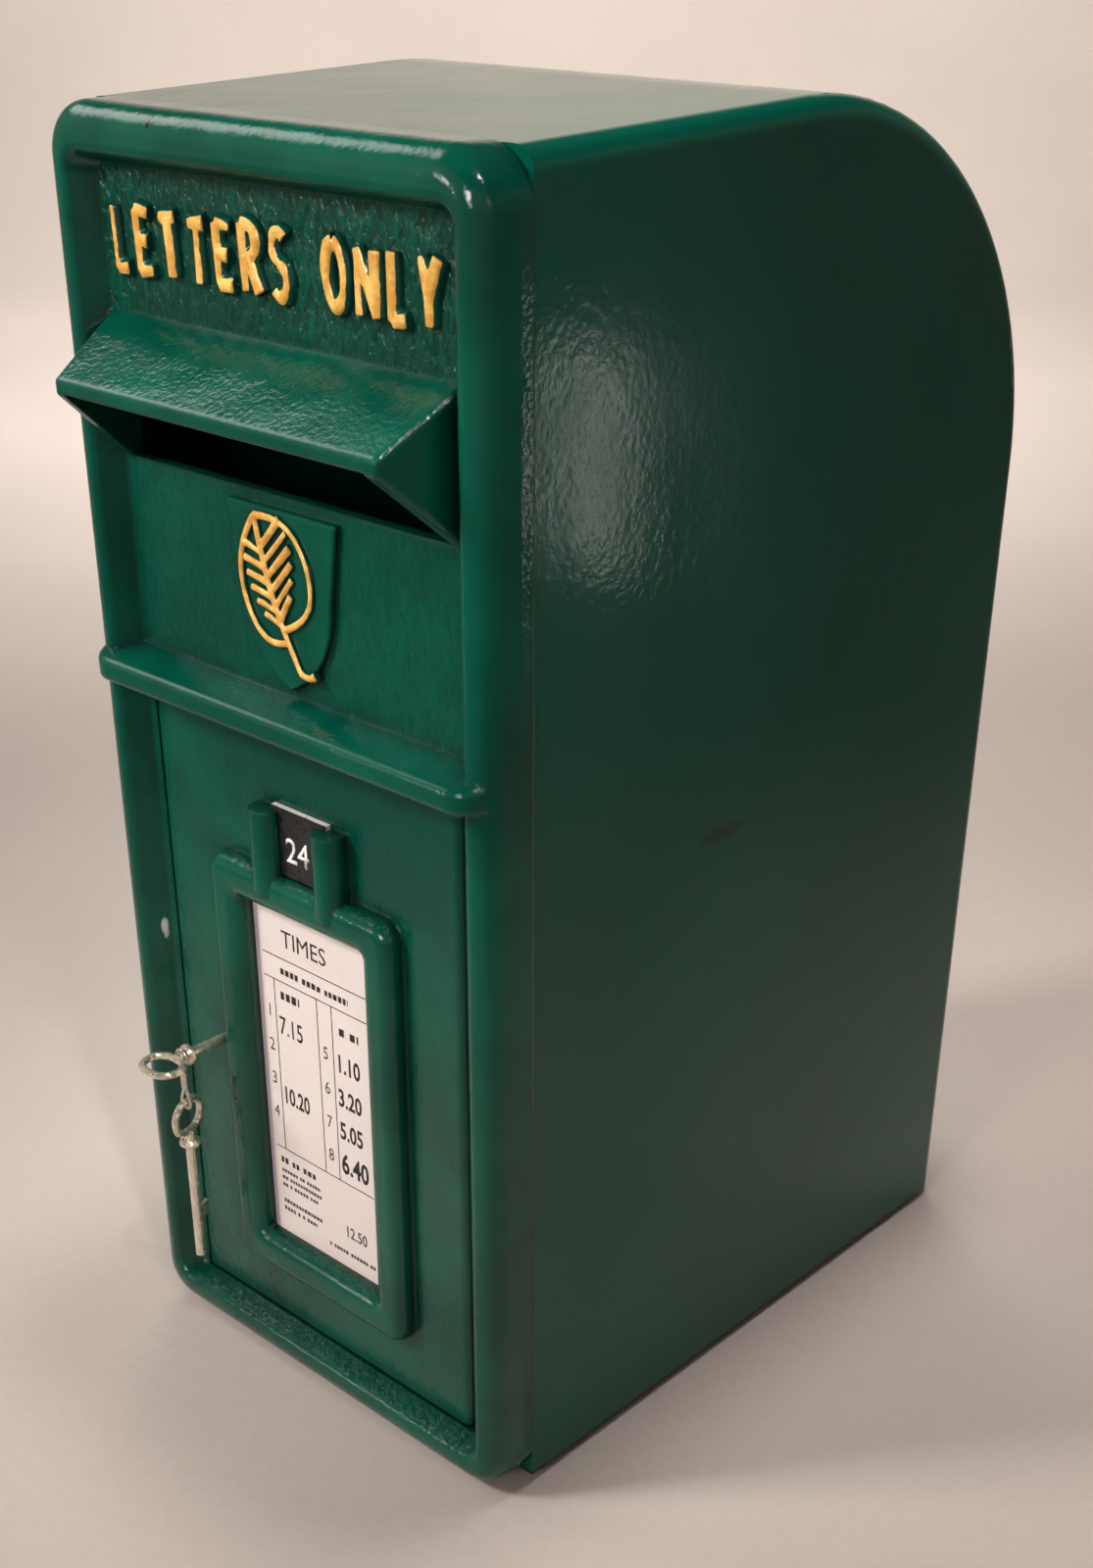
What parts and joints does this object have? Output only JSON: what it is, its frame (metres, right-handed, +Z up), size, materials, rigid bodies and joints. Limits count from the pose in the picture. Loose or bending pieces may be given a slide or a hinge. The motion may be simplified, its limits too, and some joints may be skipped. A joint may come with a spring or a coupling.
{
  "type": "letter box",
  "caption": "Wall or floor letter box with a cast front: hooded letter slot, ledge, and a locked, hinged door with a framed notice, on a deep sheet-metal body with a curved back.",
  "frame": {"origin": "on the floor under the rubber feet, in the middle of the whole part's width and depth, the key in the lock included", "axes": "+Z up, -Y towards the person posting a letter, +X to that person's right, where the door is hinged"},
  "size_m": [0.25, 0.4024, 0.5929],
  "materials": {
    "casting_enamel": "gloss enamel over a rough casting",
    "body_enamel": "smooth gloss enamel on sheet steel",
    "zinc_steel": "zinc plated",
    "bright_steel": "bright drawn steel",
    "card": "matt printed card",
    "hardboard": "smooth hardboard",
    "laminate": "two-colour engraving laminate",
    "lock_steel": "dull pressed steel",
    "lock_brass": "dull brass",
    "nickel": "worn nickel plate",
    "tie_wire": "soft tie wire",
    "rubber": "moulded rubber"
  },
  "bodies": {
    "box": {"front_casting": "casting_enamel", "body_shell": "body_enamel", "body_screws": "zinc_steel", "upper_hinge_pin": "bright_steel", "lower_hinge_pin": "bright_steel", "foot_front_left": "rubber", "foot_front_right": "rubber", "foot_back_left": "rubber", "foot_back_right": "rubber"},
    "door": {"door": "casting_enamel", "notice_card": "card", "backing_board": "hardboard", "board_clips": "zinc_steel", "clip_screws": "zinc_steel", "number_tab": "laminate", "lock_cap": "lock_steel", "lock_case": "lock_steel", "lock_screws": "zinc_steel"},
    "key": {"key": "nickel"},
    "bolt": {"lock_bolt": "lock_brass"},
    "lever": {"lock_lever": "lock_brass", "lever_spring": "bright_steel"},
    "link": {"key_link": "tie_wire"},
    "spare": {"spare_key": "nickel"}
  },
  "joints": [
    {"name": "door_swing", "type": "hinge", "parent": "box", "child": "door", "pos_m": [0.0915, -0.14485, 0.182], "axis": [0, 0, 1], "range_deg": [0, 95]},
    {"name": "key_turn", "type": "hinge", "parent": "door", "child": "key", "pos_m": [-0.066, -0.14385, 0.1755], "axis": [0, -1, 0], "range_deg": [0, 90]},
    {"name": "bolt_throw", "type": "slide", "parent": "door", "child": "bolt", "axis": [-1, 0, 0], "range_m": [0, 0.0085]},
    {"name": "lever_lift", "type": "hinge", "parent": "door", "child": "lever", "pos_m": [-0.051, -0.13135, 0.1895], "axis": [0, 1, 0], "range_deg": [0, 2]},
    {"name": "link_swing", "type": "hinge", "parent": "door", "child": "link", "pos_m": [-0.066, -0.18015, 0.1755], "axis": [0, 1, 0], "range_deg": [-25, 25]},
    {"name": "spare_swing", "type": "hinge", "parent": "link", "child": "spare", "pos_m": [-0.066, -0.18015, 0.1505], "axis": [0.9511, 0.309, 0], "range_deg": [-25, 5]}
  ],
  "couplings": [
    {"joint": "bolt_throw", "follows": "key_turn", "m_per_rad": 0.0054},
    {"joint": "lever_lift", "follows": "key_turn", "ratio": 0.0222}
  ]
}
